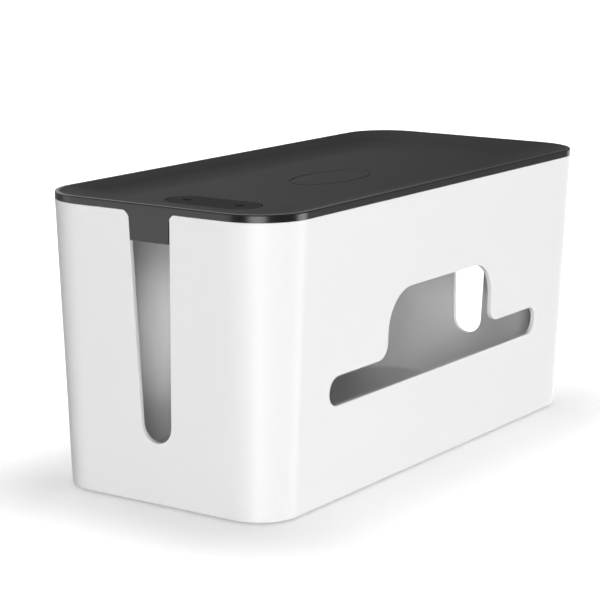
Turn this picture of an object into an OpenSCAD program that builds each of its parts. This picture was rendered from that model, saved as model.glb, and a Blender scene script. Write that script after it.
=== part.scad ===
// Cable management box: a tapering tub with a cable slot in each end and a window in
// its front wall, a tray lid that lifts off, a soft grommet with two cable holes in the
// lid, and four soft feet. Millimetres, with +X along the box, the window facing -Y and
// +Z up. The origin is on the surface that the box stands on, under its middle.

/* [Tub] */
// Length of the tub across its rim
box_l = 280; // [240:1:400]
// Width of the tub across its rim
box_w = 129; // [115:1:180]
// Height of the tub, without its feet and its lid
box_h = 129.2; // [115:0.1:180]
// Radius of the upright corners at the rim
corner_r = 25; // [18:0.5:32]
// How far each wall leans in between the rim and the base
lean = 5.5; // [1:0.1:8]
// Thickness of the walls
wall_t = 2.4; // [1.6:0.1:3.6]
// Thickness of the tub's floor
floor_t = 3; // [2:0.1:5]
// Bevel where the walls meet the underside
base_bevel = 0.8; // [0.4:0.1:1.6]

/* [End slots] */
// Width of each end slot at the rim
slot_w = 22; // [18:0.5:30]
// Radius of the round foot of a slot
slot_r = 8; // [5:0.1:8.8]
// Height of that foot above the underside
slot_rise = 28; // [12:0.5:60]
// Radius that rounds the mouth of a slot into the rim
mouth_r = 3.8; // [1:0.1:6]

/* [Window] */
// Length of the window's low part
window_l = 187; // [130:1:200]
// Height of the window's low part
window_h = 13.4; // [8:0.1:20]
// Height of the sill above the underside
window_rise = 43.3; // [20:0.1:60]
// Width of the window's raised part
hump_w = 94; // [60:1:104]
// Height of the raised part above the low part
hump_h = 30.4; // [27:0.1:36]
// Radius of the raised part's upper corners
hump_r = 18.2; // [6:0.1:19]
// Radius that blends the raised part into the low part
blend_r = 7; // [2:0.1:8]

/* [Lid] */
// Height of the lid's rim above the tub
rim_h = 3.3; // [2.8:0.1:6]
// Width of the flat on top of the rim
rim_w = 1.9; // [1:0.1:3]
// Bevel on the rim's upper outer edge
rim_bevel = 0.5; // [0.2:0.1:0.9]
// Depth of the tray below the top of the rim
tray_depth = 5; // [3:0.1:8]
// Thickness of the tray
tray_t = 2.2; // [1.8:0.1:2.7]
// Length of the slope down to the tray's floor at each end
end_slope = 25; // [15:0.5:26]
// Length of the slope down to the tray's floor along each side
side_slope = 14.5; // [10:0.5:20]
// Corner radius of the tray's floor
tray_r = 21; // [10:0.5:26]
// Depth of the rib that locates the lid inside the tub
rib_h = 5; // [3:0.1:7]
// Thickness of that rib
rib_t = 1.6; // [1:0.1:2.4]
// Gap between the rib and the walls of the tub
rib_gap = 0.4; // [0.2:0.05:0.8]
// How far the two tongues hang down into the end slots
tongue_h = 12.8; // [9:0.1:24]
// Gap at each side of a tongue
tongue_gap = 0.35; // [0.2:0.05:0.8]

/* [Oval ring] */
// Length of the ring engraved in the middle of the tray
ring_l = 58; // [30:1:70]
// Width of the ring
ring_w = 28; // [16:1:40]
// Width of its groove
groove_w = 1.1; // [0.6:0.1:2]
// Depth of its groove
groove_depth = 0.5; // [0.2:0.1:0.9]

/* [Cable grommet] */
// Length of the grommet across the box
grommet_l = 48; // [42:0.5:54]
// Width of the grommet along the box
grommet_w = 20.2; // [16:0.1:24]
// Distance from the grommet's middle to the end of the box
grommet_inset = 46; // [42:0.5:60]
// Thickness of its flange
flange_t = 1.3; // [0.8:0.1:1.5]
// How far the flange reaches past the stem
flange_lip = 2; // [1:0.1:3]
// Length of the stem below the flange
stem_h = 6; // [3:0.1:9]
// Gap all round between the grommet and the lid
grommet_gap = 0.3; // [0.2:0.05:0.5]
// Radius of the two cable holes
cable_r = 1.8; // [1:0.1:3]
// Distance between the cable holes
cable_pitch = 28.3; // [16:0.1:30]
// Width of the slit that joins the cable holes
slit_w = 0.5; // [0.3:0.1:0.9]
// Thickness of the collar around the stem, under the lid
collar_t = 2.2; // [1.4:0.1:3]

/* [Feet] */
// Radius of each foot
foot_r = 6; // [4:0.1:9]
// Thickness of each foot
foot_t = 1.6; // [1.2:0.1:2.4]
// How far the feet stand out of the tub
foot_stand = 0.8; // [0.5:0.1:1.1]
// Distance from the middle of a foot to the edges of the base
foot_inset = 22; // [14:0.5:30]
// Bevel on the lower edge of each foot
foot_bevel = 0.3; // [0.1:0.05:0.4]
// Gap around each foot in its pocket
foot_gap = 0.15; // [0.05:0.05:0.4]

/* [Hidden] */
$fn = 96;
// Facets of the round corners inside a hull
hull_fn = 48;
// How far a cut runs past the face that it opens
overrun = 1;
// Thickness of the flat slice that ends a hull
slice_t = 0.01;

// Heights of the tub's underside, its rim, the lid's top and the tray's floor
base_z = foot_stand;
rim_z = base_z + box_h;
top_z = rim_z + rim_h;
tray_z = top_z - tray_depth;
// Axes of the four upright corners
corner_x = box_l / 2 - corner_r;
corner_y = box_w / 2 - corner_r;

// Axis of a slot's round foot, and the angle at which its straight sides leave it
slot_z = base_z + slot_rise + slot_r;
slot_tilt = atan2(rim_z - slot_z, slot_w / 2)
    - acos(slot_r / norm([slot_w / 2, rim_z - slot_z]));

// Heights of the window's sill, of its low part's top and of its raised part's top
sill_z = base_z + window_rise;
window_top_z = sill_z + window_h;
hump_top_z = window_top_z + hump_h;

// Distance of the locating rib and of the tongues' inner faces from the box's outline
rib_inset = wall_t + lean_at(rim_z - rib_h) + rib_gap;
tongue_inset = rib_inset + rib_t;
tongue_z = rim_z - tongue_h;

// Middle of the grommet, the ledge that its flange rests on, and the end of its stem
grommet_x = grommet_inset - box_l / 2;
ledge_z = tray_z - flange_t;
stem_z = ledge_z - stem_h;

// Middles of the feet
foot_x = box_l / 2 - lean - foot_inset;
foot_y = box_w / 2 - lean - foot_inset;

// Distance between the outline at the rim and the outline at height z
function lean_at(z) = lean * (rim_z - z) / box_h;

// Half the width of a slot at height z, with its sides moved in by gap
function slot_half(z, gap) =
    (slot_r - gap - (z - slot_z) * sin(slot_tilt)) / cos(slot_tilt);

// Solid between two heights, with the given distances from the rim's outline at each
module leaning_block(low_z, low_inset, high_z, high_inset) {
    low_r = corner_r - low_inset;
    high_r = corner_r - high_inset;
    for (side_x = [-1, 1], side_y = [-1, 1])
        translate([side_x * corner_x, side_y * corner_y, low_z])
            cylinder(h = high_z - low_z, r1 = low_r, r2 = high_r);
    rotate([90, 0, 0])
        linear_extrude(2 * corner_y, center = true)
            trapezoid(corner_x + low_r, low_z, corner_x + high_r, high_z);
    rotate([90, 0, 90])
        linear_extrude(2 * corner_x, center = true)
            trapezoid(corner_y + low_r, low_z, corner_y + high_r, high_z);
}

// Symmetric outline with its half widths at a lower and an upper height
module trapezoid(low_half, low_z, high_half, high_z) {
    polygon([[-low_half, low_z], [low_half, low_z], [high_half, high_z],
        [-high_half, high_z]]);
}

// Solid that follows the tub's leaning walls, inset from them all round
module tub_block(low_z, high_z, inset) {
    leaning_block(low_z, lean_at(low_z) + inset, high_z, lean_at(high_z) + inset);
}

// Solid with upright walls, inset from the rim's outline
module upright_block(low_z, high_z, inset) {
    leaning_block(low_z, inset, high_z, inset);
}

// Outline with round ends, its length along Y
module stadium(length, width) {
    square([width, length - width], center = true);
    for (side = [-1, 1])
        translate([0, side * (length - width) / 2]) circle(width / 2);
}

// Outline of an end slot, drawn in Y and Z and moved in by gap
module slot_outline(gap) {
    round_r = slot_r - gap;
    high_z = rim_z + overrun;
    mouth_z = rim_z - mouth_r;
    mouth_y = slot_half(mouth_z, -mouth_r);
    translate([0, slot_z]) circle(round_r);
    trapezoid(round_r * cos(slot_tilt), slot_z + round_r * sin(slot_tilt),
        slot_half(high_z, gap), high_z);
    for (side = [0, 1])
        mirror([side, 0])
            difference() {
                polygon([[0, mouth_z], [mouth_y - mouth_r * cos(slot_tilt),
                    mouth_z - mouth_r * sin(slot_tilt)], [mouth_y, mouth_z],
                    [mouth_y, high_z], [0, high_z]]);
                translate([mouth_y, mouth_z]) circle(mouth_r + gap);
            }
}

// Both end slots as one bar that runs the whole length of the box
module slot_bar(gap) {
    rotate([90, 0, 90])
        linear_extrude(box_l + 2 * overrun, center = true) slot_outline(gap);
}

// Outline of the front window, drawn in X and Z
module window_outline() {
    end_r = window_h / 2;
    end_x = window_l / 2 - end_r;
    middle_z = window_top_z - end_r;
    round_x = hump_w / 2 - hump_r;
    blend_x = hump_w / 2 + blend_r;
    translate([-end_x, sill_z]) square([2 * end_x, window_h]);
    translate([-hump_w / 2, middle_z]) square([hump_w, end_r + hump_h - hump_r]);
    translate([-round_x, middle_z]) square([2 * round_x, end_r + hump_h]);
    for (side = [-1, 1]) {
        translate([side * end_x, middle_z]) circle(end_r);
        translate([side * round_x, hump_top_z - hump_r]) circle(hump_r);
    }
    difference() {
        translate([-blend_x, middle_z]) square([2 * blend_x, end_r + blend_r]);
        for (side = [-1, 1])
            translate([side * blend_x, window_top_z + blend_r]) circle(blend_r);
    }
}

// Pockets that the feet are set in
module foot_pockets() {
    for (side_x = [-1, 1], side_y = [-1, 1])
        translate([side_x * foot_x, side_y * foot_y, base_z - overrun])
            cylinder(h = foot_t - foot_stand + overrun, r = foot_r + foot_gap);
}

// The tub: leaning walls, a closed floor, two end slots and the front window
module box_body() {
    bevel_z = base_z + base_bevel;
    window_depth = wall_t + lean + 2 * overrun;
    color("white")
        difference() {
            union() {
                leaning_block(base_z, lean + base_bevel, bevel_z, lean_at(bevel_z));
                tub_block(bevel_z, rim_z, 0);
            }
            tub_block(base_z + floor_t, rim_z + overrun, wall_t);
            slot_bar(0);
            translate([0, window_depth - overrun - box_w / 2, 0])
                rotate([90, 0, 0]) linear_extrude(window_depth) window_outline();
            foot_pockets();
        }
}

// The form of the tray's sloped dish, with its floor at the given height
module dish(floor_z, cap_h) {
    floor_x = box_l / 2 - rim_w - end_slope - tray_r;
    floor_y = box_w / 2 - rim_w - side_slope - tray_r;
    hull()
        for (side_x = [-1, 1], side_y = [-1, 1]) {
            translate([side_x * floor_x, side_y * floor_y, floor_z])
                cylinder(h = slice_t, r = tray_r, $fn = hull_fn);
            translate([side_x * corner_x, side_y * corner_y, floor_z + tray_depth])
                cylinder(h = cap_h, r = corner_r - rim_w, $fn = hull_fn);
        }
}

// The rib that locates the lid inside the tub
module locating_rib() {
    difference() {
        upright_block(rim_z - rib_h, rim_z + rim_h / 2, rib_inset);
        upright_block(rim_z - rib_h - overrun, rim_z + rim_h, tongue_inset);
    }
}

// The tongues that close the top of each end slot, flush with the walls
module tongues() {
    intersection() {
        slot_bar(tongue_gap);
        difference() {
            tub_block(tongue_z, rim_z, 0);
            upright_block(tongue_z - overrun, rim_z + overrun, tongue_inset);
        }
    }
}

// The oval ring that is engraved in the tray
module oval_groove() {
    ring_steps = 96;
    translate([0, 0, tray_z - groove_depth])
        linear_extrude(groove_depth + overrun)
            difference() {
                oval(ring_l / 2, ring_w / 2, ring_steps);
                oval(ring_l / 2 - groove_w, ring_w / 2 - groove_w, ring_steps);
            }
}

// Outline of an ellipse with the given half axes
module oval(half_x, half_y, steps) {
    polygon([for (step = [0 : steps - 1])
        [half_x * cos(step * 360 / steps), half_y * sin(step * 360 / steps)]]);
}

// The collar under the tray that the grommet's stem sits in
module collar() {
    stem_l = grommet_l - 2 * flange_lip + 2 * grommet_gap;
    stem_w = grommet_w - 2 * flange_lip + 2 * grommet_gap;
    translate([grommet_x, 0, stem_z])
        linear_extrude(ledge_z - stem_z)
            stadium(stem_l + 2 * collar_t, stem_w + 2 * collar_t);
}

// The seat that is cut in the tray for the grommet: a recess and a way through
module grommet_seat() {
    translate([grommet_x, 0, ledge_z])
        linear_extrude(flange_t + overrun)
            stadium(grommet_l + 2 * grommet_gap, grommet_w + 2 * grommet_gap);
    translate([grommet_x, 0, stem_z - overrun])
        linear_extrude(stem_h + flange_t + overrun)
            stadium(grommet_l - 2 * flange_lip + 2 * grommet_gap,
                grommet_w - 2 * flange_lip + 2 * grommet_gap);
}

// The lid: a flush rim, a sloped tray, a locating rib and a tongue at each end
module lid() {
    bevel_z = top_z - rim_bevel;
    color("dimgray")
        difference() {
            union() {
                upright_block(rim_z, bevel_z, 0);
                leaning_block(bevel_z, 0, top_z, rim_bevel);
                dish(tray_z - tray_t, slice_t);
                locating_rib();
                tongues();
                collar();
            }
            dish(tray_z, overrun);
            grommet_seat();
            oval_groove();
        }
}

// The soft grommet: a flange on a stem, with two cable holes and the slit between them
module cable_grommet() {
    color("black")
        translate([grommet_x, 0, 0])
            difference() {
                union() {
                    translate([0, 0, ledge_z])
                        linear_extrude(flange_t) stadium(grommet_l, grommet_w);
                    translate([0, 0, stem_z])
                        linear_extrude(stem_h)
                            stadium(grommet_l - 2 * flange_lip, grommet_w - 2 * flange_lip);
                }
                for (side = [-1, 1])
                    translate([0, side * cable_pitch / 2, stem_z - overrun])
                        cylinder(h = stem_h + flange_t + 2 * overrun, r = cable_r);
                translate([-slit_w / 2, -cable_pitch / 2, stem_z - overrun])
                    cube([slit_w, cable_pitch, stem_h + flange_t + 2 * overrun]);
            }
}

// One soft foot, on the side of the box that the signs name
module foot(side_x, side_y) {
    color("gray")
        translate([side_x * foot_x, side_y * foot_y, 0]) {
            cylinder(h = foot_bevel, r1 = foot_r - foot_bevel, r2 = foot_r);
            translate([0, 0, foot_bevel]) cylinder(h = foot_t - foot_bevel, r = foot_r);
        }
}

box_body();
lid();
cable_grommet();
foot(-1, -1);  // foot_front_left
foot(1, -1);  // foot_front_right
foot(-1, 1);  // foot_back_left
foot(1, 1);  // foot_back_right
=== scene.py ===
"""Looks of the cable management box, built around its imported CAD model.

The box is a white tub with a cable slot in each end and a window in its front wall, a
dark tray lid that lifts off, a soft grommet with two cable holes in the lid, and four
soft feet. Lengths are in metres and places are in the CAD model's own frame: +X along
the box, the window facing -Y, +Z up, the origin on the surface under the box's middle.
"""

import logging
import math
from collections.abc import Callable, Iterator
from contextlib import contextmanager
from dataclasses import dataclass, field, replace
from enum import Enum

import bmesh
import bpy
from mathutils import Matrix, Vector

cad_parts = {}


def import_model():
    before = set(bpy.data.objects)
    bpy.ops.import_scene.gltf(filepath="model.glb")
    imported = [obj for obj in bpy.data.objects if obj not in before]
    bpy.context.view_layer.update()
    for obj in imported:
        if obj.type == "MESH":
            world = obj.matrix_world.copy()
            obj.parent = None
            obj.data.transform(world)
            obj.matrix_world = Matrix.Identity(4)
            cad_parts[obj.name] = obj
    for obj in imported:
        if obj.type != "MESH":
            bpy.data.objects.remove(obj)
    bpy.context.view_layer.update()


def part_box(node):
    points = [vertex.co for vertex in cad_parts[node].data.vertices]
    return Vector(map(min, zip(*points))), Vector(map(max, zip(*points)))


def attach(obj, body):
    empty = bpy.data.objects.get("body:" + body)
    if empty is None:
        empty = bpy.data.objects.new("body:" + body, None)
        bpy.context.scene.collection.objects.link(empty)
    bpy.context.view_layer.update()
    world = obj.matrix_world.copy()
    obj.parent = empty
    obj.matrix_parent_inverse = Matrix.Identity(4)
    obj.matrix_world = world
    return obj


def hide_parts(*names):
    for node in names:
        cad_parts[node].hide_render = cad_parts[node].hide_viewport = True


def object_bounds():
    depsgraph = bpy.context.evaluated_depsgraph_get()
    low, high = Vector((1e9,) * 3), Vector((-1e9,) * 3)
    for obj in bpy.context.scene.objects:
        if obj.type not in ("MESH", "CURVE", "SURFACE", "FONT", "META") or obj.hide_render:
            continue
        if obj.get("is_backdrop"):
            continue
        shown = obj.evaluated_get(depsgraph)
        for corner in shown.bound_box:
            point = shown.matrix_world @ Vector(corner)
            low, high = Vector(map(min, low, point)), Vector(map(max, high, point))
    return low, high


MM = 0.001
LOG = logging.getLogger("cable_box")
FEET = ("foot_front_left", "foot_front_right", "foot_back_left", "foot_back_right")

NEAR = 0.01 * MM  # Points that are closer than this count as being at one place.
OVERRUN = 1 * MM  # How far a cut runs past the face that it opens.
CORNER_SLACK = 1 / 8  # Share of its radius by which a corner's arc may be cut short.
RIGHT_ANGLE = math.radians(90)
SHARP = math.radians(30)  # Least angle between two faces that makes their edge a sharp one.
STRAIGHT = math.radians(1)  # An edge that turns by less than this at a point is straight.
WHITE_WATTS = 4  # Power of a lamp with a white front, for each square metre of it.
MIX_SHARE, MIX_FIRST, MIX_SECOND, MIX_RESULT = 0, 6, 7, 2  # Sockets of a mix of two colours.

Place = Callable[[Vector], bool]
Triple = tuple[float, float, float]


class Pick(Enum):
    """What is picked in edit mode."""

    VERTICES = "VERT"
    EDGES = "EDGE"
    FACES = "FACE"


class Combine(Enum):
    """How a second solid changes the first."""

    ADD = "UNION"
    CUT = "DIFFERENCE"


@dataclass(frozen=True)
class RoundedOutline:
    """A rectangle with round corners, centred on the origin.

    Attributes:
        corner_x: Distance of the corners' axes from the middle along X.
        corner_y: Distance of the corners' axes from the middle along Y.
        radius: Radius of the corners.
    """

    corner_x: float
    corner_y: float
    radius: float

    @property
    def half_x(self) -> float:
        """Half the length along X."""
        return self.corner_x + self.radius

    @property
    def half_y(self) -> float:
        """Half the length along Y."""
        return self.corner_y + self.radius

    def inset(self, distance: float) -> "RoundedOutline":
        """The outline moved in by a distance all round."""
        return replace(self, radius=self.radius - distance)

    def depth(self, point: Vector) -> float:
        """How far inside the outline a point lies, whatever its height."""
        past_x = abs(point.x) - self.corner_x
        past_y = abs(point.y) - self.corner_y
        if past_x > 0 and past_y > 0:
            return self.radius - math.hypot(past_x, past_y)
        return self.radius - max(past_x, past_y)


def everywhere(_: Vector) -> bool:
    """A test that every point passes."""
    return True


def at_height(z: float) -> Place:
    """A test for points at one height."""
    return lambda point: abs(point.z - z) < NEAR


def direction(azimuth: float, elevation: float) -> Vector:
    """A direction from its angles in degrees: from +X towards +Y, and above the horizon."""
    around = math.radians(azimuth)
    above = math.radians(elevation)
    level = math.cos(above)
    return Vector((math.cos(around) * level, math.sin(around) * level, math.sin(above)))


def deselect_all() -> None:
    """Leaves nothing selected, because new primitives and the CAD nodes are at first."""
    bpy.ops.object.select_all(action="DESELECT")


class Workpiece:
    """A mesh that is shaped with the modelling tools, as by hand.

    Attributes:
        shape: The object that holds the mesh.
    """

    def __init__(
        self,
        name: str,
        primitive: Callable[..., object],
        stretch: Triple = (1, 1, 1),
        **settings: object,
    ) -> None:
        """Adds the primitive that the piece starts from.

        Args:
            name: Name of the object and of its mesh.
            primitive: The operator that adds the primitive.
            stretch: How much it is stretched along each axis, about its own middle.
            **settings: What the operator is given.
        """
        deselect_all()
        primitive(**settings)
        self.shape: bpy.types.Object = bpy.context.active_object
        self.shape.name = name
        self.shape.data.name = name
        bpy.ops.object.transform_apply(location=True, rotation=True, scale=True)
        with self.editing():
            self.pick(Pick.VERTICES)
            bpy.ops.transform.resize(value=stretch)

    @classmethod
    def prism(
        cls, name: str, outline: RoundedOutline, low: Triple, height: float
    ) -> "Workpiece":
        """A closed solid with an upright wall round an outline.

        Args:
            name: Name of the piece.
            outline: Outline of the solid.
            low: Where the middle of its lower face lies.
            height: Height of the solid.

        Returns:
            The new piece.
        """
        stretch = (2 * outline.half_x, 2 * outline.half_y, 1)
        piece = cls(name, bpy.ops.mesh.primitive_plane_add, stretch, size=1, location=low)
        with piece.editing():
            piece.pick(Pick.VERTICES)
            piece.round_points(outline.radius)
        with piece.editing():
            piece.pick(Pick.FACES)
            piece.extrude(0, 0, height)
            piece.face_outwards()
        return piece

    def activate(self) -> None:
        """Makes this piece the only one that is selected."""
        deselect_all()
        self.shape.select_set(True)
        bpy.context.view_layer.objects.active = self.shape

    @contextmanager
    def editing(self) -> Iterator[None]:
        """Edit mode on this piece alone."""
        self.activate()
        bpy.ops.object.mode_set(mode="EDIT")
        yield
        bpy.ops.object.mode_set(mode="OBJECT")

    def pick(self, kind: Pick, where: Place = everywhere) -> None:
        """Picks what lies wholly where a test says, and nothing else.

        Args:
            kind: Whether vertices, edges or faces are picked.
            where: Test that each corner of a picked thing passes.
        """
        bpy.ops.mesh.select_mode(type=kind.value)
        bpy.ops.mesh.select_all(action="DESELECT")
        mesh = bmesh.from_edit_mesh(self.shape.data)
        items = {Pick.VERTICES: mesh.verts, Pick.EDGES: mesh.edges, Pick.FACES: mesh.faces}
        for item in items[kind]:
            corners = [item] if kind is Pick.VERTICES else item.verts
            if all(where(corner.co) for corner in corners):
                item.select_set(True)
        mesh.select_flush_mode()
        bmesh.update_edit_mesh(self.shape.data)

    def extrude(self, x: float, y: float, z: float) -> None:
        """Pulls what is picked out by a distance along each axis."""
        bpy.ops.mesh.extrude_region_move(TRANSFORM_OT_translate={"value": (x, y, z)})

    def move(self, x: float, y: float, z: float) -> None:
        """Moves what is picked."""
        bpy.ops.transform.translate(value=(x, y, z))

    def scale(self, x: float, y: float, z: float, about: Triple = (0, 0, 0)) -> None:
        """Scales what is picked about a point."""
        bpy.ops.transform.resize(value=(x, y, z), center_override=about)

    def inset(self, distance: float) -> None:
        """Insets the picked faces by a distance, within their plane."""
        bpy.ops.mesh.inset(thickness=distance, use_even_offset=True)

    def bevel(self, width: float, segments: int = 4) -> None:
        """Rounds the picked edges."""
        bpy.ops.mesh.bevel(offset=width, segments=segments, affect="EDGES")

    def round_points(self, width: float, segments: int = 24) -> None:
        """Rounds the picked corners of a flat face."""
        bpy.ops.mesh.bevel(offset=width, segments=segments, affect="VERTICES")
        bpy.ops.mesh.select_all(action="SELECT")
        bpy.ops.mesh.remove_doubles(threshold=NEAR / 2)

    def split(self, point: Triple, normal: Triple) -> None:
        """Splits the picked faces where a plane crosses them."""
        bpy.ops.mesh.bisect(plane_co=point, plane_no=normal)

    def merge_faces(self) -> None:
        """Makes one face of all the faces of a flat mesh, without points in straight edges."""
        self.pick(Pick.FACES)
        bpy.ops.mesh.dissolve_faces()
        self.pick(Pick.FACES)
        bpy.ops.mesh.dissolve_limited(angle_limit=STRAIGHT)

    def face_outwards(self) -> None:
        """Turns every face outwards."""
        bpy.ops.mesh.select_all(action="SELECT")
        bpy.ops.mesh.normals_make_consistent(inside=False)

    def reshape(self, z: float, old: RoundedOutline, new: RoundedOutline) -> None:
        """Moves the ring at a height from one rounded outline to another.

        Args:
            z: Height of the ring.
            old: The ring's present outline.
            new: The outline that it gets, with the same points round each corner.
        """
        size = new.radius / old.radius
        slack = CORNER_SLACK * old.radius
        for side_x in (-1, 1):
            for side_y in (-1, 1):
                self.pick(
                    Pick.VERTICES,
                    lambda point: abs(point.z - z) < NEAR
                    and abs(old.depth(point)) < NEAR
                    and side_x * point.x > old.corner_x - slack
                    and side_y * point.y > old.corner_y - slack,
                )
                axis = (side_x * old.corner_x, side_y * old.corner_y, z)
                self.scale(size, size, 1, about=axis)
                self.move(
                    side_x * (new.corner_x - old.corner_x),
                    side_y * (new.corner_y - old.corner_y),
                    0,
                )

    def combine(self, other: "Workpiece", how: Combine) -> None:
        """Adds another solid or cuts it away, and uses it up.

        Args:
            other: The other solid.
            how: Whether it is added or cut away.
        """
        modifier = self.shape.modifiers.new("combine", "BOOLEAN")
        modifier.operation = how.value
        modifier.solver = "EXACT"
        modifier.object = other.shape
        self.apply(modifier)
        bpy.data.meshes.remove(other.shape.data)

    def apply(self, modifier: bpy.types.Modifier) -> None:
        """Applies a modifier to the mesh."""
        self.activate()
        bpy.ops.object.modifier_apply(modifier=modifier.name)

    def soften(self, width: float, segments: int = 3) -> None:
        """Rounds every sharp edge that is left and shades the piece smoothly.

        Args:
            width: Width of the rounding.
            segments: Facets across it.
        """
        modifier = self.shape.modifiers.new("soften", "BEVEL")
        modifier.limit_method = "ANGLE"
        modifier.angle_limit = SHARP
        modifier.width = width
        modifier.segments = segments
        modifier.use_clamp_overlap = True
        self.apply(modifier)
        bpy.ops.object.shade_smooth_by_angle(angle=SHARP)
        modifier = self.shape.modifiers.new("even", "WEIGHTED_NORMAL")
        modifier.keep_sharp = True
        self.apply(modifier)

    def copy_to(self, name: str, x: float, y: float) -> "Workpiece":
        """A copy with its own mesh, moved across the floor.

        Args:
            name: Name of the copy.
            x: How far it is moved along X.
            y: How far it is moved along Y.

        Returns:
            The copy.
        """
        twin = object.__new__(Workpiece)
        twin.shape = self.shape.copy()
        twin.shape.data = self.shape.data.copy()
        twin.shape.name = name
        twin.shape.data.name = name
        bpy.context.scene.collection.objects.link(twin.shape)
        with twin.editing():
            twin.pick(Pick.VERTICES)
            twin.move(x, y, 0)
        return twin

    def dress(self, material: bpy.types.Material, where: Place | None = None) -> None:
        """Gives the piece a material, all over or only on some faces.

        Args:
            material: The material.
            where: Test that each corner of such a face passes, or None for all faces.
        """
        self.shape.data.materials.append(material)
        if where is None:
            return
        with self.editing():
            self.pick(Pick.FACES, where)
            self.shape.active_material_index = len(self.shape.data.materials) - 1
            bpy.ops.object.material_slot_assign()

    def finish(self, body: str, slot: str) -> None:
        """Puts the piece in the frame in place of the CAD node with its name.

        Args:
            body: CAD body that the piece moves with.
            slot: Material slot of the record for its finish; not used.
        """
        node = self.shape.name
        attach(self.shape, body)
        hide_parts(node.removesuffix("_looks"))
        LOG.info("%s: %d faces", node, len(self.shape.data.polygons))


class Signal:
    """A socket that Python's operators work on."""

    def __init__(self, nodes: "NodeMaker", socket: bpy.types.NodeSocket) -> None:
        """Wraps a socket of one of the maker's nodes."""
        self.nodes = nodes
        self.socket = socket

    def maths(self, operation: str, left: object, right: object) -> "Signal":
        """A new signal worked out from two signals or numbers."""
        return self.nodes.make("Math", {"operation": operation}, {0: left, 1: right})

    def __add__(self, other: object) -> "Signal":
        """This signal plus another or a number."""
        return self.maths("ADD", self, other)

    def __sub__(self, other: object) -> "Signal":
        """This signal less another or a number."""
        return self.maths("SUBTRACT", self, other)

    def __rsub__(self, other: object) -> "Signal":
        """A number less this signal."""
        return self.maths("SUBTRACT", other, self)

    def __mul__(self, other: object) -> "Signal":
        """This signal times another or a number."""
        return self.maths("MULTIPLY", self, other)

    __radd__ = __add__
    __rmul__ = __mul__


class NodeMaker:
    """Makes the nodes of one material or world."""

    def __init__(self, owner: bpy.types.Material | bpy.types.World) -> None:
        """Starts with no nodes."""
        owner.use_nodes = True
        self.tree = owner.node_tree
        self.tree.nodes.clear()

    def make(
        self,
        kind: str,
        settings: dict[str, object] | None = None,
        inputs: dict[str | int, object] | None = None,
        output: str | int = 0,
    ) -> Signal | None:
        """Makes a node.

        Args:
            kind: Type of the node, without its ShaderNode prefix.
            settings: The node's own settings, which are set first.
            inputs: A number, colour or signal for each socket that is named.
            output: The output that is wanted.

        Returns:
            The output as a signal, or None for a node that has none.
        """
        node = self.tree.nodes.new("ShaderNode" + kind)
        for name, value in (settings or {}).items():
            setattr(node, name, value)
        for name, value in (inputs or {}).items():
            if isinstance(value, Signal):
                self.tree.links.new(value.socket, node.inputs[name])
            else:
                node.inputs[name].default_value = value
        return Signal(self, node.outputs[output]) if node.outputs else None

    def vector(self, operation: str, *values: object, output: str | int = 0) -> Signal:
        """The answer of a Vector Math node for signals or vectors."""
        return self.make("VectorMath", {"operation": operation}, dict(enumerate(values)), output)

    def noise(self, place: Signal, size: float, octaves: float) -> Signal:
        """Noise with patches of a size, in octaves that are finer and finer."""
        scale = 1 / size
        return self.make("TexNoise", inputs={"Vector": place, "Scale": scale, "Detail": octaves})

    def change(
        self, value: Signal, start: float, end: float, low: float = 0.0, high: float = 1.0
    ) -> Signal:
        """A number that changes softly as a signal grows.

        Args:
            value: The signal.
            start: Value of the signal where the change starts.
            end: Value of the signal where it ends.
            low: The number up to the start.
            high: The number from the end on.

        Returns:
            The number as a signal.
        """
        limits = {"From Min": start, "From Max": end, "To Min": low, "To Max": high}
        soft = {"interpolation_type": "SMOOTHSTEP"}
        return self.make("MapRange", soft, {"Value": value, **limits})


@dataclass(frozen=True)
class MouldedFinish:
    """A moulded plastic or rubber, with the fine texture of its mould.

    What isn't stated for a finish is as on a soft rubber.

    Attributes:
        name: Name of the material.
        colour: Its colour, in linear light.
        roughness: Its mean roughness.
        cloud_size: Size of the patches in which its colour and roughness vary.
        shine: Specular level of its surface.
        tint_swing: Share by which its colour varies.
        roughness_swing: How much its roughness varies.
        grain_size: Size of the mould's texture.
        grain_height: Height of the mould's texture.
    """

    name: str
    colour: Triple
    roughness: float
    cloud_size: float
    shine: float = 0.2
    tint_swing: float = 0.06
    roughness_swing: float = 0.05
    grain_size: float = 0.3 * MM
    grain_height: float = 0.02 * MM

    def material(self) -> bpy.types.Material:
        """The finish as a node material."""
        material = bpy.data.materials.new(self.name)
        nodes = NodeMaker(material)
        place = nodes.make("TexCoord", output="Object")
        cloud = nodes.noise(place, self.cloud_size, octaves=2)
        grain = nodes.noise(place, self.grain_size, octaves=3)
        dark = tuple(part * (1 - self.tint_swing) for part in self.colour) + (1.0,)
        light = tuple(part * (1 + self.tint_swing) for part in self.colour) + (1.0,)
        parts = {MIX_SHARE: cloud, MIX_FIRST: dark, MIX_SECOND: light}
        colour = nodes.make("Mix", {"data_type": "RGBA"}, parts, MIX_RESULT)
        roughness = self.roughness + self.roughness_swing * (cloud + grain - 1)
        bump = nodes.make(
            "Bump", inputs={"Height": grain, "Distance": self.grain_height, "Strength": 1.0}
        )
        shader = nodes.make(
            "BsdfPrincipled",
            inputs={
                "Base Color": colour,
                "Roughness": roughness,
                "Normal": bump,
                "Specular IOR Level": self.shine,
            },
        )
        nodes.make("OutputMaterial", inputs={"Surface": shader})
        return material


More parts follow.
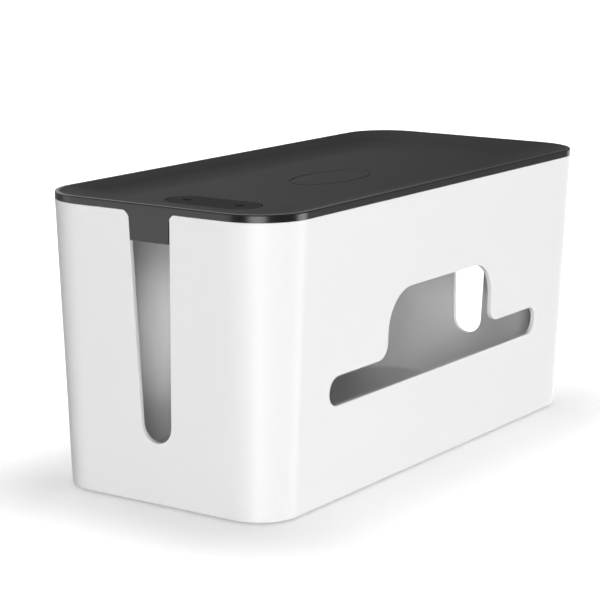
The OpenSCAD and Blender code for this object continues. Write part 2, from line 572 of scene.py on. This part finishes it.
TUB_WHITE = MouldedFinish(
    name="tub_white",
    colour=(0.84, 0.84, 0.845),
    roughness=0.3,
    cloud_size=40 * MM,
    tint_swing=0.006,
    roughness_swing=0.03,
    grain_size=0.9 * MM,
    grain_height=0.004 * MM,
)
# The lid is one plastic. The sides' smooth gloss and the tray's matt texture are real, but the
# sides' colour is set at about a third of the tray's: painted shade on the sides and painted
# light on the tray.
LID_SIDES_PAINTED_SHADE = MouldedFinish(
    name="lid_sides_painted_shade",
    colour=(0.014, 0.014, 0.015),
    roughness=0.2,
    cloud_size=30 * MM,
    shine=0.5,
    tint_swing=0.04,
    roughness_swing=0.03,
    grain_size=0.8 * MM,
    grain_height=0.004 * MM,
)
LID_TRAY_PAINTED_LIGHT = MouldedFinish(
    name="lid_tray_painted_light",
    colour=(0.04, 0.04, 0.0405),
    roughness=0.5,
    cloud_size=30 * MM,
    shine=0.035,
    tint_swing=0.05,
    roughness_swing=0.06,
    grain_size=0.35 * MM,
    grain_height=0.03 * MM,
)
GROMMET_RUBBER = MouldedFinish(
    name="grommet_rubber",
    colour=(0.02, 0.02, 0.021),
    roughness=0.75,
    cloud_size=12 * MM,
)
FOOT_RUBBER = MouldedFinish(
    name="foot_rubber",
    colour=(0.16, 0.16, 0.16),
    roughness=0.7,
    cloud_size=8 * MM,
    shine=0.3,
)


@dataclass
class BoxForm:
    """The form that the tub and the lid share.

    Attributes:
        outline: Outline at the tub's rim and all the way up the lid.
        base_z: Height of the tub's underside.
        rim_z: Height of the tub's rim.
        lean: How far each wall leans in between the rim and the underside.
        slot_w: Width of the end slots at the rim.
        slot_r: Radius of the round foot of a slot.
        slot_rise: Height of that foot above the underside.
        mouth_r: Radius that rounds the mouth of a slot into the rim.
        wall: Thickness of the tub's walls.
    """

    outline: RoundedOutline
    base_z: float
    rim_z: float
    lean: float = 5.5 * MM
    slot_w: float = 22 * MM
    slot_r: float = 8 * MM
    slot_rise: float = 28 * MM
    mouth_r: float = 2.4 * MM
    wall: float = 2.4 * MM

    @classmethod
    def from_frame(cls, corner_r: float = 25 * MM) -> "BoxForm":
        """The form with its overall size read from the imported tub."""
        low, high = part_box("box_body")
        outline = RoundedOutline(high.x - corner_r, high.y - corner_r, corner_r)
        return cls(outline, low.z, high.z)

    def lean_at(self, z: float) -> float:
        """Distance between the outline at the rim and the outline at a height."""
        return self.lean * (self.rim_z - z) / (self.rim_z - self.base_z)

    @property
    def slot_foot_z(self) -> float:
        """Height of the lowest point of a slot."""
        return self.base_z + self.slot_rise

    @property
    def slot_tilt(self) -> float:
        """Angle between a slot's straight side and the upright."""
        rise = self.rim_z - self.slot_foot_z - self.slot_r
        half = self.slot_w / 2
        return math.acos(self.slot_r / math.hypot(half, rise)) - math.atan2(rise, half)

    def slot_half(self, z: float, gap: float = 0) -> float:
        """Half the width of a slot at a height, with its sides moved in by a gap."""
        narrowing = (self.rim_z - z) * math.tan(self.slot_tilt)
        return self.slot_w / 2 - narrowing - gap / math.cos(self.slot_tilt)

    def mouth_run(self, gap: float = 0) -> float:
        """How far the rounding of a slot's mouth reaches along the rim."""
        return (self.mouth_r + gap) / math.tan((RIGHT_ANGLE - self.slot_tilt) / 2)


@dataclass
class GrommetForm:
    """The form that the grommet and its seat in the lid share.

    Attributes:
        low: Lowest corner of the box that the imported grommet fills.
        high: Highest corner of that box.
        flange_t: Thickness of its flange.
        flange_lip: How far the flange reaches past the stem.
    """

    low: Vector
    high: Vector
    flange_t: float = 1.3 * MM
    flange_lip: float = 2 * MM

    @property
    def middle_x(self) -> float:
        """Where the middle of the grommet lies along the box."""
        return (self.low.x + self.high.x) / 2

    def outline(self, growth: float = 0) -> RoundedOutline:
        """Outline of the flange, grown by a distance all round."""
        half_x = (self.high.x - self.low.x) / 2
        half_y = (self.high.y - self.low.y) / 2
        return RoundedOutline(0, half_y - half_x, half_x + growth)


@dataclass
class Tub:
    """The white tub: leaning walls, a closed floor, two end slots and the front window.

    Attributes:
        form: The form that it shares with the lid.
        floor_t: Thickness of its floor.
        base_round: Rounding where the walls meet the underside.
        inner_round: Rounding where the walls meet the floor inside.
        edge_round: Rounding of the rim and of the edges of its openings.
        window_l: Length of the window's low part.
        window_h: Height of the window's low part.
        window_rise: Height of the sill above the underside.
        hump_w: Width of the window's raised part.
        hump_h: Height of the raised part above the low part.
        hump_r: Radius of the raised part's upper corners.
        blend_r: Radius that blends the raised part into the low part.
        foot_room: Radius of the pockets that the feet are set in.
    """

    form: BoxForm
    floor_t: float = 3 * MM
    base_round: float = 0.8 * MM
    inner_round: float = 2 * MM
    edge_round: float = 0.35 * MM
    window_l: float = 187 * MM
    window_h: float = 13.4 * MM
    window_rise: float = 43.3 * MM
    hump_w: float = 94 * MM
    hump_h: float = 30.4 * MM
    hump_r: float = 18.2 * MM
    blend_r: float = 7 * MM
    foot_room: float = 6.15 * MM

    def build(self) -> None:
        """Models the tub and puts it in the frame."""
        tub = self.shell()
        tub.combine(self.slot_bar(), Combine.CUT)
        tub.combine(self.window_block(), Combine.CUT)
        for foot in FEET:
            tub.combine(self.pocket(foot), Combine.CUT)
        tub.soften(self.edge_round)
        tub.dress(TUB_WHITE.material())
        tub.finish("tub", "tub_plastic")

    def shell(self) -> Workpiece:
        """The walls and the floor, without any opening."""
        form = self.form
        floor_z = form.base_z + self.floor_t
        low = (0, 0, form.base_z)
        tub = Workpiece.prism("box_body_looks", form.outline, low, form.rim_z - form.base_z)
        inner = form.outline.inset(form.wall)
        with tub.editing():
            tub.reshape(form.base_z, form.outline, form.outline.inset(form.lean))
            tub.pick(Pick.FACES, at_height(form.rim_z))
            tub.inset(form.wall)
            tub.extrude(0, 0, floor_z - form.rim_z)
            tub.reshape(floor_z, inner, inner.inset(form.lean_at(floor_z)))
            tub.pick(Pick.EDGES, at_height(form.base_z))
            tub.bevel(self.base_round)
            tub.pick(Pick.EDGES, at_height(floor_z))
            tub.bevel(self.inner_round, segments=5)
            tub.face_outwards()
        return tub

    def slot_bar(self) -> Workpiece:
        """A bar with the outline of the end slots, as long as the box."""
        form = self.form
        low_z = form.slot_foot_z
        high_z = form.rim_z
        low_half = form.slot_half(low_z)
        high_half = form.slot_half(high_z)
        mouth_half = high_half + form.mouth_run()
        bar = Workpiece(
            "slot_bar",
            bpy.ops.mesh.primitive_plane_add,
            (1, 2 * high_half, high_z - low_z),
            size=1,
            location=(0, 0, (low_z + high_z) / 2),
            rotation=(0, RIGHT_ANGLE, 0),
        )
        with bar.editing():
            bar.pick(Pick.VERTICES, at_height(low_z))
            bar.scale(1, low_half / high_half, 1)
            bar.pick(Pick.EDGES, at_height(high_z))
            bar.extrude(0, 0, 2 * NEAR)
            bar.scale(1, mouth_half / high_half, 1)
            bar.extrude(0, 0, OVERRUN)
            bar.merge_faces()
            bar.pick(Pick.VERTICES, at_height(high_z))
            bar.round_points(form.mouth_run(), segments=10)
            bar.pick(Pick.VERTICES, at_height(low_z))
            bar.round_points(low_half, segments=16)
            reach = form.outline.half_x + OVERRUN
            bar.pick(Pick.FACES)
            bar.move(-reach, 0, 0)
            bar.extrude(2 * reach, 0, 0)
            bar.face_outwards()
        return bar

    def window_block(self) -> Workpiece:
        """A block with the outline of the front window, through the front wall alone."""
        form = self.form
        sill_z = form.base_z + self.window_rise
        top_z = sill_z + self.window_h
        near_y = -form.outline.half_y - OVERRUN
        block = Workpiece(
            "window_block",
            bpy.ops.mesh.primitive_plane_add,
            (self.window_l, 1, self.window_h),
            size=1,
            location=(0, near_y, (sill_z + top_z) / 2),
            rotation=(RIGHT_ANGLE, 0, 0),
        )
        half = self.hump_w / 2

        def under_hump(point: Vector) -> bool:
            """Whether a point lies where the raised part meets the low part."""
            return abs(point.z - top_z) < NEAR and abs(point.x) < half + NEAR

        with block.editing():
            for side in (-1, 1):
                block.pick(Pick.FACES)
                block.split((side * half, 0, 0), (1, 0, 0))
            block.pick(Pick.EDGES, under_hump)
            block.extrude(0, 0, self.hump_h)
            block.merge_faces()
            block.pick(Pick.VERTICES, at_height(top_z + self.hump_h))
            block.round_points(self.hump_r, segments=20)
            block.pick(Pick.VERTICES, under_hump)
            block.round_points(self.blend_r, segments=12)
            block.pick(Pick.VERTICES, lambda point: abs(point.x) > self.window_l / 2 - NEAR)
            block.round_points(self.window_h / 2, segments=12)
            block.pick(Pick.FACES)
            block.extrude(0, form.wall + form.lean + 2 * OVERRUN, 0)
            block.face_outwards()
        return block

    def pocket(self, foot: str) -> Workpiece:
        """The pocket that a foot is set in.

        Args:
            foot: Name of the foot's CAD node.

        Returns:
            A solid to cut away.
        """
        low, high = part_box(foot)
        middle = (low + high) / 2
        depth = high.z - self.form.base_z
        return Workpiece(
            "pocket",
            bpy.ops.mesh.primitive_cylinder_add,
            vertices=64,
            radius=self.foot_room,
            depth=depth + OVERRUN,
            location=(middle.x, middle.y, high.z - (depth + OVERRUN) / 2),
        )


@dataclass
class Lid:
    """The lid: a flush rim, a sloped tray, a locating rib and a tongue at each end.

    Attributes:
        form: The form that it shares with the tub.
        held: The form of the grommet that it holds.
        rim_w: Width of the flat on top of the rim.
        rim_round: Rounding of the rim's upper outer edge.
        tray_depth: Depth of the tray below the top of the rim.
        tray_t: Thickness of the tray.
        end_slope: Length of the slope down to the tray's floor at each end.
        side_slope: Length of the slope down to the tray's floor along each side.
        tray_r: Corner radius of the tray's floor.
        knee: How far the rounding between the slope and the floor reaches.
        rib_h: Depth of the rib that locates the lid inside the tub.
        rib_t: Thickness of that rib.
        rib_gap: Gap between the rib and the walls of the tub.
        tongue_h: How far the tongues hang down into the end slots.
        tongue_gap: Gap at each side of a tongue.
        ring_l: Length of the oval ring engraved in the tray.
        ring_w: Width of the ring.
        groove_w: Width of its groove.
        groove_depth: Depth of its groove.
        seat_gap: Gap all round between the grommet and the lid.
        collar_t: Thickness of the collar around the stem.
        edge_round: Rounding of the small edges.
        top_z: Height of the top of the rim.
        tray_z: Height of the tray's floor.
        ledge_z: Height of the ledge that the grommet's flange lies on.
    """

    form: BoxForm
    held: GrommetForm
    rim_w: float = 1.9 * MM
    rim_round: float = 0.55 * MM
    tray_depth: float = 5 * MM
    tray_t: float = 2.2 * MM
    end_slope: float = 25 * MM
    side_slope: float = 14.5 * MM
    tray_r: float = 21 * MM
    knee: float = 9 * MM
    rib_h: float = 5 * MM
    rib_t: float = 1.6 * MM
    rib_gap: float = 0.4 * MM
    tongue_h: float = 12.8 * MM
    tongue_gap: float = 0.35 * MM
    ring_l: float = 58 * MM
    ring_w: float = 28 * MM
    groove_w: float = 1.1 * MM
    groove_depth: float = 0.35 * MM
    seat_gap: float = 0.3 * MM
    collar_t: float = 2.2 * MM
    edge_round: float = 0.2 * MM
    top_z: float = field(init=False)
    tray_z: float = field(init=False)
    ledge_z: float = field(init=False)

    def __post_init__(self) -> None:
        """Works the lid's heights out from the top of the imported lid."""
        self.top_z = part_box("lid")[1].z
        self.tray_z = self.top_z - self.tray_depth
        self.ledge_z = self.tray_z - self.held.flange_t

    def build(self) -> None:
        """Models the lid and puts it in the frame."""
        lid = self.shell()
        lid.combine(self.collar(), Combine.ADD)
        lid.combine(self.seat(), Combine.CUT)
        lid.combine(self.oval_groove(), Combine.CUT)
        lid.soften(self.edge_round)
        lid.dress(LID_SIDES_PAINTED_SHADE.material())
        # The tray takes the lighter copy of the lid plastic, painted light against the sides'
        # painted shade.
        lid.dress(
            LID_TRAY_PAINTED_LIGHT.material(),
            lambda point: self.form.outline.depth(point) > self.rim_w - NEAR
            and point.z > self.ledge_z - NEAR,
        )
        lid.finish("lid", "lid_plastic")

    def shell(self) -> Workpiece:
        """The moulding without its cuts."""
        form = self.form
        outline = form.outline
        under_z = self.tray_z - self.tray_t
        rib_inset = form.wall + form.lean_at(form.rim_z - self.rib_h) + self.rib_gap
        tongue_inset = rib_inset + self.rib_t
        floor = RoundedOutline(
            outline.half_x - self.rim_w - self.end_slope - self.tray_r,
            outline.half_y - self.rim_w - self.side_slope - self.tray_r,
            self.tray_r,
        )
        low = (0, 0, form.rim_z)
        lid = Workpiece.prism("lid_looks", outline, low, self.top_z - form.rim_z)
        with lid.editing():
            lid.pick(Pick.FACES, at_height(self.top_z))
            lid.inset(self.rim_w)
            lid.extrude(0, 0, -self.tray_depth)
            lid.reshape(self.tray_z, outline.inset(self.rim_w), floor)
            lid.pick(Pick.FACES, at_height(form.rim_z))
            lid.inset(rib_inset)
            lid.inset(self.rib_t)
            lid.extrude(0, 0, under_z - form.rim_z)
            lid.reshape(under_z, outline.inset(tongue_inset), floor)
            self.pull_down_rib(lid, rib_inset, tongue_inset)
            lid.face_outwards()
            lid.pick(Pick.EDGES, at_height(self.tray_z))
            lid.bevel(self.knee, segments=8)
            lid.pick(
                Pick.EDGES,
                lambda point: abs(point.z - self.top_z) < NEAR and outline.depth(point) < NEAR,
            )
            lid.bevel(self.rim_round)
        return lid

    def pull_down_rib(self, lid: Workpiece, rib_inset: float, tongue_inset: float) -> None:
        """Pulls the rib and the tongues down out of the rim's underside.

        Args:
            lid: The moulding, in edit mode, with a ring for the rib in its underside.
            rib_inset: Distance of the rib's outer face from the outline.
            tongue_inset: Distance of its inner face from the outline.
        """
        form = self.form
        outline = form.outline
        half = form.slot_half(form.rim_z, self.tongue_gap)
        rib_z = form.rim_z - self.rib_h
        tongue_z = form.rim_z - self.tongue_h

        def at_end(point: Vector) -> bool:
            """Whether a point lies under the rim at one end."""
            return abs(point.x) > outline.corner_x and outline.depth(point) < tongue_inset + NEAR

        def in_tongue(point: Vector) -> bool:
            """Whether a point lies in one of the tongues."""
            return at_end(point) and abs(point.y) < half + NEAR

        def in_rib(point: Vector) -> bool:
            """Whether a point lies in the rib or a tongue."""
            depth = outline.depth(point)
            return rib_inset - NEAR < depth < tongue_inset + NEAR or in_tongue(point)

        under = at_height(form.rim_z)
        for side in (-1, 1):
            lid.pick(Pick.FACES, lambda point: at_end(point) and under(point))
            lid.split((0, side * half, 0), (0, 1, 0))
        lid.pick(Pick.FACES, lambda point: in_rib(point) and under(point))
        lid.extrude(0, 0, -self.rib_h)
        lid.pick(Pick.FACES, lambda point: in_tongue(point) and at_height(rib_z)(point))
        lid.extrude(0, 0, self.rib_h - self.tongue_h)
        for z in (rib_z, tongue_z):
            level = at_height(z)
            lid.pick(Pick.VERTICES, lambda point: in_tongue(point) and level(point))
            lid.scale(1, form.slot_half(z, self.tongue_gap) / half, 1)
            for side in (-1, 1):
                lid.pick(
                    Pick.VERTICES,
                    lambda point: level(point) and side * point.x > outline.half_x - NEAR,
                )
                lid.move(-side * form.lean_at(z), 0, 0)
        lid.pick(
            Pick.EDGES,
            lambda point: under(point)
            and abs(abs(point.y) - half) < NEAR
            and outline.depth(point) < rib_inset + NEAR,
        )
        lid.bevel(form.mouth_run(self.tongue_gap), segments=10)

    def collar(self) -> Workpiece:
        """The collar under the tray that the grommet's stem sits in."""
        held = self.held
        outline = held.outline(self.seat_gap - held.flange_lip + self.collar_t)
        low = (held.middle_x, 0, held.low.z)
        return Workpiece.prism("collar", outline, low, self.ledge_z - held.low.z)

    def seat(self) -> Workpiece:
        """The recess for the flange and the way through for the stem, as one solid."""
        held = self.held
        low = (held.middle_x, 0, self.ledge_z)
        seat = Workpiece.prism("seat", held.outline(self.seat_gap), low, held.flange_t + OVERRUN)
        with seat.editing():
            seat.pick(Pick.FACES, at_height(self.ledge_z))
            seat.inset(held.flange_lip)
            seat.extrude(0, 0, held.low.z - OVERRUN - self.ledge_z)
            seat.face_outwards()
        return seat

    def oval_groove(self) -> Workpiece:
        """The solid that engraves the oval ring in the tray."""
        low_z = self.tray_z - self.groove_depth
        groove = Workpiece(
            "oval_groove",
            bpy.ops.mesh.primitive_circle_add,
            (self.ring_l / 2, self.ring_w / 2, 1),
            vertices=128,
            radius=1,
            fill_type="NGON",
            location=(0, 0, low_z),
        )
        half_x = (self.ring_l - self.groove_w) / 2
        half_y = (self.ring_w - self.groove_w) / 2
        rounding = self.groove_w / 3
        low = at_height(low_z)

        def outside(point: Vector) -> bool:
            """Whether a point lies outside the middle line of the groove."""
            return math.hypot(point.x / half_x, point.y / half_y) > 1

        with groove.editing():
            groove.pick(Pick.FACES)
            groove.inset(self.groove_w)
            bpy.ops.mesh.delete(type="FACE")
            groove.pick(Pick.FACES)
            groove.extrude(0, 0, self.groove_depth + OVERRUN)
            groove.face_outwards()
            for side in (True, False):
                groove.pick(Pick.EDGES, lambda point: low(point) and outside(point) is side)
                groove.bevel(rounding)
        return groove


@dataclass
class Grommet:
    """The soft grommet: a flange on a stem, with two cable holes and a slit between them.

    Attributes:
        form: The form that it shares with its seat.
        cable_r: Radius of the cable holes.
        cable_pitch: Distance between the cable holes.
        slit_w: Width of the slit between them.
        flare: How far the holes widen at the top.
        rim_round: Rounding of the flange's upper edge.
        edge_round: Rounding of the other edges.
    """

    form: GrommetForm
    cable_r: float = 1.8 * MM
    cable_pitch: float = 28.3 * MM
    slit_w: float = 0.3 * MM
    flare: float = 0.45 * MM
    rim_round: float = 0.4 * MM
    edge_round: float = 0.12 * MM

    def build(self) -> None:
        """Models the grommet and puts it in the frame."""
        form = self.form
        low_z, high_z = form.low.z, form.high.z
        flange_z = high_z - form.flange_t
        low = (form.middle_x, 0, flange_z)
        grommet = Workpiece.prism("cable_grommet_looks", form.outline(), low, form.flange_t)
        with grommet.editing():
            grommet.pick(Pick.FACES, at_height(flange_z))
            grommet.inset(form.flange_lip)
            grommet.extrude(0, 0, low_z - flange_z)
            grommet.pick(Pick.EDGES, at_height(high_z))
            grommet.bevel(self.rim_round)
            grommet.face_outwards()
        for side in (-1, 1):
            grommet.combine(self.hole(side * self.cable_pitch / 2), Combine.CUT)
        slit = Workpiece(
            "slit",
            bpy.ops.mesh.primitive_cube_add,
            (self.slit_w, self.cable_pitch, high_z - low_z + 2 * OVERRUN),
            size=1,
            location=(form.middle_x, 0, (low_z + high_z) / 2),
        )
        grommet.combine(slit, Combine.CUT)
        grommet.soften(self.edge_round, segments=2)
        grommet.dress(GROMMET_RUBBER.material())
        grommet.finish("grommet", "grommet_rubber")

    def hole(self, y: float) -> Workpiece:
        """A round hole that flares out at the top.

        Args:
            y: Where its axis lies across the box.

        Returns:
            A solid to cut away.
        """
        x = self.form.middle_x
        high_z = self.form.high.z
        mouth_z = high_z - self.flare
        end_z = self.form.low.z - OVERRUN
        hole = Workpiece(
            "hole",
            bpy.ops.mesh.primitive_cylinder_add,
            vertices=32,
            radius=self.cable_r,
            depth=mouth_z - end_z,
            location=(x, y, (end_z + mouth_z) / 2),
        )
        wide = 1 + self.flare / self.cable_r
        with hole.editing():
            hole.pick(Pick.FACES, at_height(mouth_z))
            hole.extrude(0, 0, self.flare)
            hole.scale(wide, wide, 1, about=(x, y, high_z))
            hole.extrude(0, 0, OVERRUN)
        return hole


@dataclass
class Feet:
    """The four soft feet, each a disc with a round edge and a crowned face.

    Attributes:
        edge_round: Rounding of the lower edge.
        small_round: Rounding of the other edges.
        tread: Width of the flat that the box stands on, from the middle.
        crown: How far the rest of the face rises above that flat.
    """

    edge_round: float = 0.3 * MM
    small_round: float = 0.1 * MM
    tread: float = 4.2 * MM
    crown: float = 0.12 * MM

    def build(self) -> None:
        """Models one foot, copies it to its four places and puts them in the frame."""
        low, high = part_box(FEET[0])
        first = self.disc(low, high)
        for node in FEET:
            corner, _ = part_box(node)
            foot = first.copy_to(node + "_looks", corner.x - low.x, corner.y - low.y)
            foot.dress(FOOT_RUBBER.material())
            foot.finish("tub", "foot_rubber")
        bpy.data.meshes.remove(first.shape.data)

    def disc(self, low: Vector, high: Vector) -> Workpiece:
        """One foot, in the space of its CAD node.

        Args:
            low: The lowest corner of the node's box.
            high: The highest corner of the node's box.

        Returns:
            The foot.
        """
        radius = (high.x - low.x) / 2
        middle = (low + high) / 2
        disc = Workpiece(
            "foot",
            bpy.ops.mesh.primitive_cylinder_add,
            vertices=64,
            radius=radius,
            depth=high.z - low.z,
            location=middle,
        )
        with disc.editing():
            disc.pick(Pick.FACES, at_height(low.z))
            disc.move(0, 0, self.crown)
            disc.inset(radius - self.tread)
            disc.move(0, 0, -self.crown)
            disc.pick(Pick.EDGES, at_height(low.z + self.crown))
            disc.bevel(self.edge_round)
        disc.soften(self.small_round, segments=2)
        return disc


@dataclass(frozen=True)
class SoftBox:
    """A large soft lamp that looks at the box.

    Attributes:
        name: Name of the lamp.
        azimuth: Where it stands round the box, in degrees from +X towards +Y.
        elevation: How high it stands, in degrees.
        width: Width of its front.
        height: Height of its front.
        glow: Brightness of its front, where 1 is white.
        distance: Distance from the box.
    """

    name: str
    azimuth: float
    elevation: float
    width: float
    height: float
    glow: float
    distance: float = 3.0

    def place(self, target: Vector) -> None:
        """Adds the lamp, turned towards a target."""
        way = direction(self.azimuth, self.elevation)
        deselect_all()
        bpy.ops.object.light_add(type="AREA", location=target + way * self.distance)
        lamp = bpy.context.active_object
        lamp.name = self.name
        lamp.rotation_euler = way.to_track_quat("Z", "Y").to_euler()
        lamp.data.shape = "RECTANGLE"
        lamp.data.size = self.width
        lamp.data.size_y = self.height
        lamp.data.energy = WHITE_WATTS * self.width * self.height * self.glow
        lamp.visible_camera = False
        lamp.visible_glossy = False


@dataclass(frozen=True)
class Glimpse:
    """A bright stretch of the surroundings that gloss shows.

    Attributes:
        azimuth: Middle of the stretch, in degrees from +X towards +Y.
        half_width: Half its width, in degrees.
        softness: Half the width of its soft edge, in degrees.
        low_glow: Brightness of its lower part, where 1 is white.
        high_glow: Brightness of its upper part.
        turn: Height where one changes into the other, as the sine of an elevation.
        turn_span: How much higher or lower the change ends and starts.
    """

    azimuth: float
    half_width: float
    softness: float
    low_glow: float
    high_glow: float
    turn: float = 0.0
    turn_span: float = 0.1

    def signal(self, nodes: NodeMaker, way: Signal, upward: Signal) -> Signal:
        """Brightness of the stretch in the direction that a ray takes.

        Args:
            nodes: Maker of the world's nodes.
            way: Direction of the ray over the ground, with length 1.
            upward: Sine of the ray's elevation.

        Returns:
            The brightness.
        """
        middle = direction(self.azimuth, 0)
        towards = nodes.vector("DOT_PRODUCT", way, middle, output="Value")
        edge = math.cos(math.radians(self.half_width + self.softness))
        full = math.cos(math.radians(self.half_width - self.softness))
        start, end = self.turn - self.turn_span, self.turn + self.turn_span
        glow = nodes.change(upward, start, end, self.low_glow, self.high_glow)
        return nodes.change(towards, edge, full) * glow


@dataclass
class Studio:
    """The camera, the lamps, the pale floor and the white surroundings.

    Attributes:
        position: Where the camera stands.
        azimuth: Where the camera's back points, in degrees from +X towards +Y.
        elevation: How high it points, in degrees above the horizon.
        roll: Turn of the camera about its own axis, in degrees.
        lens: Focal length, in millimetres on a 36 mm sensor.
        floor_size: Length of each side of the floor.
        floor_colour: Brightness of the floor.
        near_glow: Light that the floor adds by the box where it is seen, kept low there so that
            it paints a shade round the box.
        far_glow: Light that it adds far from the box, which makes it white.
        core: Half the size of the rectangle under the box that distances are taken from.
        whiter_from: Distance from it at which that light starts to grow.
        whiter_to: Distance at which it is greatest.
        sky: Strength of the light that comes from all round.
        room: Brightness of the rest of the room, as gloss shows it.
        dark_from: Height where the bright stretches start to fade, as the sine of an elevation.
        dark_to: Height where nothing is left of them.
        lamps: The lamps.
        glimpses: The bright stretches round the box that gloss shows.
    """

    position: Triple = (-826.5 * MM, -540.01 * MM, 272.58 * MM)
    azimuth: float = -146.0
    elevation: float = 11.66
    roll: float = 0.19
    lens: float = 126.34
    floor_size: float = 40.0
    floor_colour: float = 0.76
    near_glow: float = 0.28
    far_glow: float = 0.95
    core: Triple = (0.115, 0.04, 0)
    whiter_from: float = 0.02
    whiter_to: float = 0.15
    sky: float = 0.1
    room: float = 0.06
    dark_from: float = 0.55
    dark_to: float = 0.85
    lamps: tuple[SoftBox, ...] = (
        SoftBox("lamp_near", azimuth=-147, elevation=1, width=0.5, height=2.2, glow=26.4),
        SoftBox("lamp_front", azimuth=-66, elevation=0, width=0.8, height=1.1, glow=10.2),
        SoftBox("lamp_right", azimuth=-20, elevation=5, width=2.0, height=1.6, glow=4.2),
        SoftBox("lamp_back", azimuth=62, elevation=5, width=2.0, height=1.6, glow=4.6),
        SoftBox("lamp_above", azimuth=20, elevation=86, width=1.8, height=1.8, glow=2.5),
    )
    glimpses: tuple[Glimpse, ...] = (
        Glimpse(azimuth=8, half_width=21, softness=5, low_glow=1.4, high_glow=0.1, turn=-0.08),
        Glimpse(azimuth=67, half_width=35, softness=5, low_glow=0.2, high_glow=1.0, turn=0.17),
        Glimpse(azimuth=132, half_width=25, softness=12, low_glow=1.5, high_glow=0.4),
        Glimpse(azimuth=-149, half_width=13, softness=10, low_glow=5.4, high_glow=0.2),
        Glimpse(azimuth=-54, half_width=9, softness=8, low_glow=4.6, high_glow=0.2),
        Glimpse(azimuth=-35, half_width=10, softness=4, low_glow=0.25, high_glow=0.05),
    )

    def build(self) -> None:
        """Sets the whole studio up."""
        self.add_camera()
        self.add_floor()
        self.add_world()
        low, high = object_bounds()
        middle = (Vector(low) + Vector(high)) / 2
        for lamp in self.lamps:
            lamp.place(middle)

    def add_camera(self) -> None:
        """Adds the camera and makes it the scene's own."""
        back = direction(self.azimuth, self.elevation)
        turn = back.to_track_quat("Z", "Y").to_matrix()
        turn = turn @ Matrix.Rotation(math.radians(self.roll), 3, "Z")
        deselect_all()
        bpy.ops.object.camera_add(location=self.position, rotation=turn.to_euler())
        camera = bpy.context.active_object
        camera.name = "camera"
        camera.data.lens = self.lens
        camera.data.clip_end = self.floor_size
        bpy.context.scene.camera = camera

    def seen(self, nodes: NodeMaker) -> Signal:
        """A signal of 1 on the rays that show the surroundings, and 0 on all others."""
        names = ("Is Camera Ray", "Is Glossy Ray", "Is Transmission Ray")
        camera, glossy, through = (nodes.make("LightPath", output=name) for name in names)
        total = camera + glossy + through
        return nodes.make("Math", {"operation": "MINIMUM"}, {0: total, 1: 1.0})

    def surroundings(self, nodes: NodeMaker) -> Signal:
        """Brightness of what is seen: white, but gloss shows the room and its bright parts."""
        way = nodes.make("TexCoord", output="Generated")
        upward = nodes.vector("DOT_PRODUCT", way, (0, 0, 1), output="Value")
        level = nodes.vector("NORMALIZE", nodes.vector("MULTIPLY", way, (1, 1, 0)))
        not_above = nodes.change(upward, self.dark_from, self.dark_to, 1.0, 0.0)
        stretches = [glimpse.signal(nodes, level, upward) for glimpse in self.glimpses]
        in_gloss = self.room + not_above * sum(stretches)
        glossy = nodes.make("LightPath", output="Is Glossy Ray")
        return 1 + glossy * (in_gloss - 1)

    def add_floor(self) -> None:
        """Adds the floor, which is white where it is seen and keeps the box's shadow; its glow
        is kept dim close to the box, a painted shade round it.
        """
        floor = Workpiece("floor", bpy.ops.mesh.primitive_plane_add, size=self.floor_size)
        material = bpy.data.materials.new("pale_floor")
        nodes = NodeMaker(material)
        grey = (self.floor_colour,) * 3 + (1.0,)
        place = nodes.make("TexCoord", output="Object")
        past = nodes.vector("SUBTRACT", nodes.vector("ABSOLUTE", place), self.core)
        past = nodes.vector("MAXIMUM", past, (0, 0, 0))
        distance = nodes.vector("LENGTH", past, output="Value")
        start, end = self.whiter_from, self.whiter_to
        # The glow is low close to the box and grows away from it, painting a shade round the box
        # on top of the cast shadow.
        glow_with_painted_shade = nodes.change(distance, start, end, self.near_glow, self.far_glow)
        matt = nodes.make(
            "BsdfPrincipled",
            inputs={
                "Base Color": grey,
                "Roughness": 1.0,
                "Specular IOR Level": 0.0,
                "Emission Color": glow_with_painted_shade * self.seen(nodes),
                "Emission Strength": 1.0,
            },
        )
        nodes.make("OutputMaterial", inputs={"Surface": matt})
        floor.shape.data.materials.append(material)
        floor.shape.visible_glossy = False
        floor.shape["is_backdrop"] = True

    def add_world(self) -> None:
        """Adds surroundings that are seen as white and light the box softly."""
        world = bpy.data.worlds.new("surroundings")
        nodes = NodeMaker(world)
        white = nodes.make("Background", inputs={"Color": self.surroundings(nodes)})
        soft = nodes.make("Background", inputs={"Color": (self.sky,) * 3 + (1.0,)})
        both = nodes.make("MixShader", inputs={0: self.seen(nodes), 1: soft, 2: white})
        nodes.make("OutputWorld", inputs={"Surface": both})
        bpy.context.scene.world = world


def main() -> None:
    """Builds the studio and the box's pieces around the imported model."""
    logging.basicConfig(level=logging.INFO, format="%(name)s: %(message)s")
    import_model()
    Studio().build()
    form = BoxForm.from_frame()
    held = GrommetForm(*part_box("cable_grommet"))
    Tub(form).build()
    Lid(form, held).build()
    Grommet(held).build()
    Feet().build()
    bpy.context.scene.view_settings.view_transform = "Standard"


if __name__ == "__main__":
    main()
